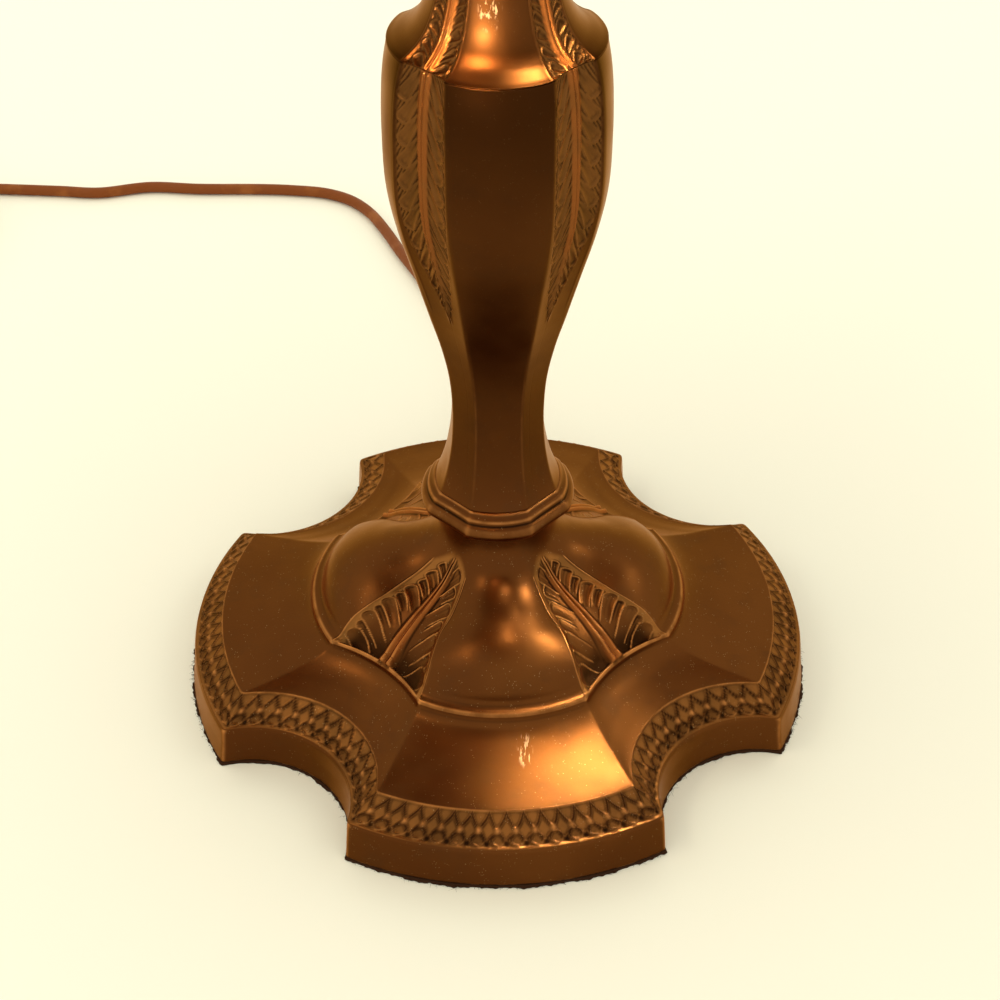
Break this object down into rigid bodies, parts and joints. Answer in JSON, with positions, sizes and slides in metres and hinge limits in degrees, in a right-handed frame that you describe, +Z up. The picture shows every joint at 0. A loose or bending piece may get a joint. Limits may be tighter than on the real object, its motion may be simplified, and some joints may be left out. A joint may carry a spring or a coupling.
{
  "type": "table lamp",
  "caption": "Table lamp with a lobed bronze-patina foot, faceted stem, pull-chain socket cluster and bent slag-glass shade.",
  "frame": {"origin": "centre of the felt pad's underside, on the lamp's axis", "axes": "+Z up along the stem, -Y towards the front lobe of the foot, the cord leaves at +Y"},
  "size_m": [0.5501, 0.5361, 0.6257],
  "materials": {
    "patina_bronze": "bronze patina over cast white metal, semi-gloss, rubbed to copper on high spots",
    "socket_brass": "aged satin",
    "chain_brass": "satin",
    "zinc_steel": "dull zinc",
    "felt": "felt",
    "bakelite": "brown bakelite",
    "cord_brown": "brown rubber, matte",
    "cardboard_liner": "matte",
    "porcelain": "glazed",
    "bulb_glass": "frosted",
    "crown_glass": "caramel slag glass",
    "skirt_glass": "green slag glass"
  },
  "bodies": {
    "lamp": {"foot_casting": "patina_bronze", "felt_pad": "felt", "foot_nut": "socket_brass", "foot_washer": "zinc_steel", "stem_collar": "patina_bronze", "stem_body": "patina_bronze", "stem_neck": "patina_bronze", "neck_cap": "patina_bronze", "center_pipe": "zinc_steel", "cord_bushing": "bakelite", "inner_leads": "cord_brown", "cluster_body": "socket_brass", "riser_rod": "socket_brass", "shade_seat": "socket_brass", "left_arm": "socket_brass", "left_socket_cap": "socket_brass", "left_socket_shell": "socket_brass", "left_socket_liner": "cardboard_liner", "left_switch_block": "porcelain", "left_screw_shell": "socket_brass", "left_pull_guide": "socket_brass", "right_arm": "socket_brass", "right_socket_cap": "socket_brass", "right_socket_shell": "socket_brass", "right_socket_liner": "cardboard_liner", "right_switch_block": "porcelain", "right_screw_shell": "socket_brass", "right_pull_guide": "socket_brass", "cord_lead": "cord_brown", "cord_coil": "cord_brown", "plug_body": "bakelite", "plug_blade_left": "chain_brass", "plug_blade_right": "chain_brass"},
    "shade": {"shade_frame": "patina_bronze", "shade_cap": "patina_bronze", "crown_pane_1": "crown_glass", "crown_pane_2": "crown_glass", "crown_pane_3": "crown_glass", "crown_pane_4": "crown_glass", "crown_pane_5": "crown_glass", "crown_pane_6": "crown_glass", "skirt_pane_1": "skirt_glass", "skirt_pane_2": "skirt_glass", "skirt_pane_3": "skirt_glass", "skirt_pane_4": "skirt_glass", "skirt_pane_5": "skirt_glass", "skirt_pane_6": "skirt_glass"},
    "finial": {"finial": "patina_bronze"},
    "left_switch_pull": {"left_pull_link": "chain_brass"},
    "left_chain": {"left_pull_chain": "chain_brass", "left_pull_knob": "chain_brass"},
    "left_bulb": {"left_bulb_glass": "bulb_glass", "left_bulb_base": "socket_brass", "left_bulb_filament": "bulb_glass"},
    "right_switch_pull": {"right_pull_link": "chain_brass"},
    "right_chain": {"right_pull_chain": "chain_brass", "right_pull_knob": "chain_brass"},
    "right_bulb": {"right_bulb_glass": "bulb_glass", "right_bulb_base": "socket_brass", "right_bulb_filament": "bulb_glass"}
  },
  "joints": [
    {"name": "shade_swivel", "type": "hinge", "parent": "lamp", "child": "shade", "pos_m": [0, 0, 0.586], "axis": [0, 0, 1], "continuous": true},
    {"name": "finial_turn", "type": "hinge", "parent": "lamp", "child": "finial", "pos_m": [0, 0, 0.6], "axis": [0, 0, 1], "continuous": true},
    {"name": "left_switch_pull", "type": "slide", "parent": "lamp", "child": "left_switch_pull", "axis": [0, 0, -1], "range_m": [0, 0.008], "stiffness_N_per_m": 250, "springref_m": -0.004},
    {"name": "left_chain_swing", "type": "hinge", "parent": "left_switch_pull", "child": "left_chain", "pos_m": [-0.05764, 0, 0.40036], "axis": [1, 0, 0], "range_deg": [-35, 35]},
    {"name": "left_bulb_turn", "type": "hinge", "parent": "lamp", "child": "left_bulb", "pos_m": [-0.08192, 0, 0.46136], "axis": [-0.8192, 0, 0.5736], "continuous": true},
    {"name": "right_switch_pull", "type": "slide", "parent": "lamp", "child": "right_switch_pull", "axis": [0, 0, -1], "range_m": [0, 0.008], "stiffness_N_per_m": 250, "springref_m": -0.004},
    {"name": "right_chain_swing", "type": "hinge", "parent": "right_switch_pull", "child": "right_chain", "pos_m": [0.05764, 0, 0.40036], "axis": [1, 0, 0], "range_deg": [-35, 35]},
    {"name": "right_bulb_turn", "type": "hinge", "parent": "lamp", "child": "right_bulb", "pos_m": [0.08192, 0, 0.46136], "axis": [0.8192, 0, 0.5736], "continuous": true}
  ]
}
